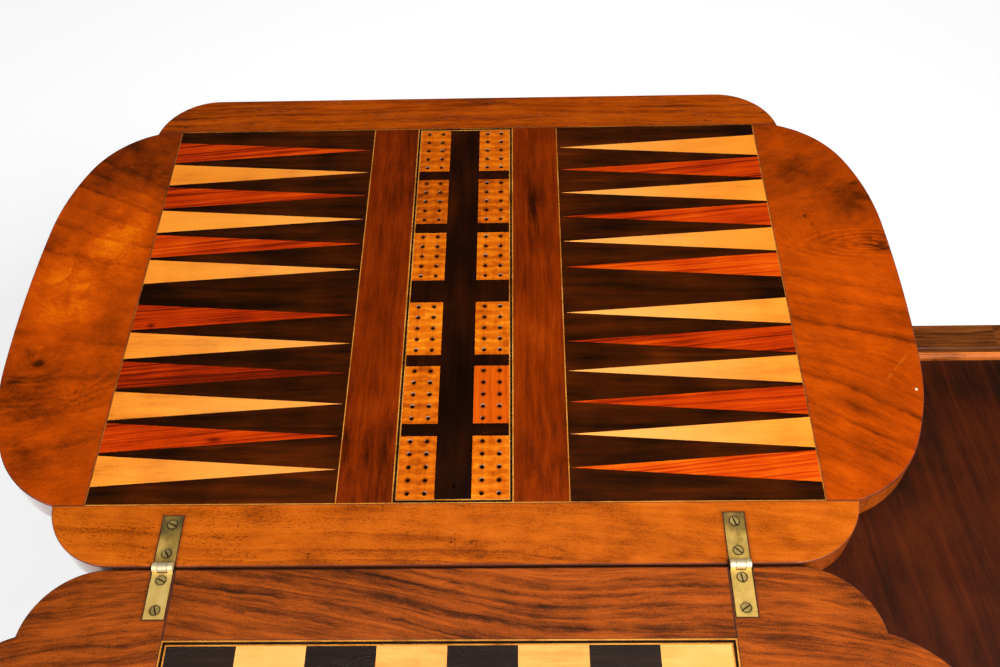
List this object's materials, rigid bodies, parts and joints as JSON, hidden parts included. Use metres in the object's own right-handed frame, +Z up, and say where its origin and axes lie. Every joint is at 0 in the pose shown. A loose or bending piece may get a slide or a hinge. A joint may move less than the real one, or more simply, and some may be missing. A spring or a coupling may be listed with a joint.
{
  "type": "games table",
  "caption": "Fold-over games table with an inlaid swivelling top for chess, backgammon and cribbage, a shallow well in the frame and a turned trestle base.",
  "frame": {"origin": "middle of the open table's footprint, on the floor", "axes": "+Z up; X along the hinge line between the leaves and along the frame; +Y from the chess leaf towards the backgammon leaf"},
  "size_m": [0.8352, 0.848, 0.7386],
  "materials": {
    "walnut_honey": "french polished",
    "walnut_figured": "french polished",
    "walnut_red": "french polished",
    "walnut_divider": "french polished",
    "burr_walnut": "french polished",
    "leaf_groundwork": "polished edge, stained underside",
    "rosewood": "french polished",
    "boxwood": "french polished",
    "tulipwood": "french polished",
    "satinwood": "french polished",
    "satinwood_repair": "french polished",
    "ebonised": "french polished",
    "black_line": "french polished",
    "walnut_frame": "french polished",
    "rim_moulding": "french polished",
    "mahogany": "worn polish",
    "carcass_wood": "bare",
    "walnut_turned": "french polished",
    "brass": "aged",
    "brass_screw": "aged",
    "iron": "dull"
  },
  "bodies": {
    "frame": {"front_rail": "walnut_frame", "back_rail": "walnut_frame", "left_end_rail": "walnut_frame", "right_end_rail": "walnut_frame", "corner_blocks": "walnut_frame", "frieze_bead": "walnut_frame", "well_moulding": "rim_moulding", "well_board": "mahogany", "board_cleats": "carcass_wood", "pivot_rail": "carcass_wood", "bearers": "walnut_turned", "bearer_screws": "iron", "left_column": "walnut_turned", "right_column": "walnut_turned", "left_hub": "walnut_turned", "right_hub": "walnut_turned", "front_left_leg": "walnut_turned", "back_left_leg": "walnut_turned", "front_right_leg": "walnut_turned", "back_right_leg": "walnut_turned", "drop_finials": "walnut_turned", "stretcher": "walnut_turned"},
    "lower_leaf": {"lower_leaf_core": "leaf_groundwork", "lower_hinge_border": "walnut_red", "lower_front_border": "walnut_red", "lower_left_panel": "walnut_red", "lower_right_panel": "walnut_red", "chess_lines_light": "boxwood", "chess_line_dark": "black_line", "dark_squares": "ebonised", "light_squares": "boxwood", "hinge_plates_lower": "brass", "hinge_pins": "brass", "hinge_screws_lower": "brass_screw", "pivot_disc": "carcass_wood", "pivot_bolt": "iron", "pivot_flange_screws": "iron", "pivot_washer": "iron", "pivot_nut": "iron"},
    "upper_leaf": {"upper_leaf_core": "leaf_groundwork", "upper_show_veneer": "burr_walnut", "upper_hinge_border": "walnut_honey", "upper_far_border": "walnut_honey", "upper_left_panel": "walnut_figured", "upper_right_panel": "walnut_figured", "field_stringing": "boxwood", "backgammon_ground": "rosewood", "light_points": "boxwood", "red_points": "tulipwood", "divider_strips": "walnut_divider", "cribbage_lines_light": "boxwood", "cribbage_lines_dark": "black_line", "cribbage_ground": "rosewood", "cribbage_blocks": "satinwood", "cribbage_block_replaced": "satinwood_repair", "hinge_plates_upper": "brass", "hinge_screws_upper": "brass_screw"}
  },
  "joints": [
    {"name": "swivel", "type": "hinge", "parent": "frame", "child": "lower_leaf", "pos_m": [0.00525, -0.1062, 0.708], "axis": [0, 0, -1], "continuous": true},
    {"name": "fold", "type": "hinge", "parent": "lower_leaf", "child": "upper_leaf", "pos_m": [-0.10095, 0, 0.7355], "axis": [1, 0, 0], "range_deg": [0, 180]}
  ]
}
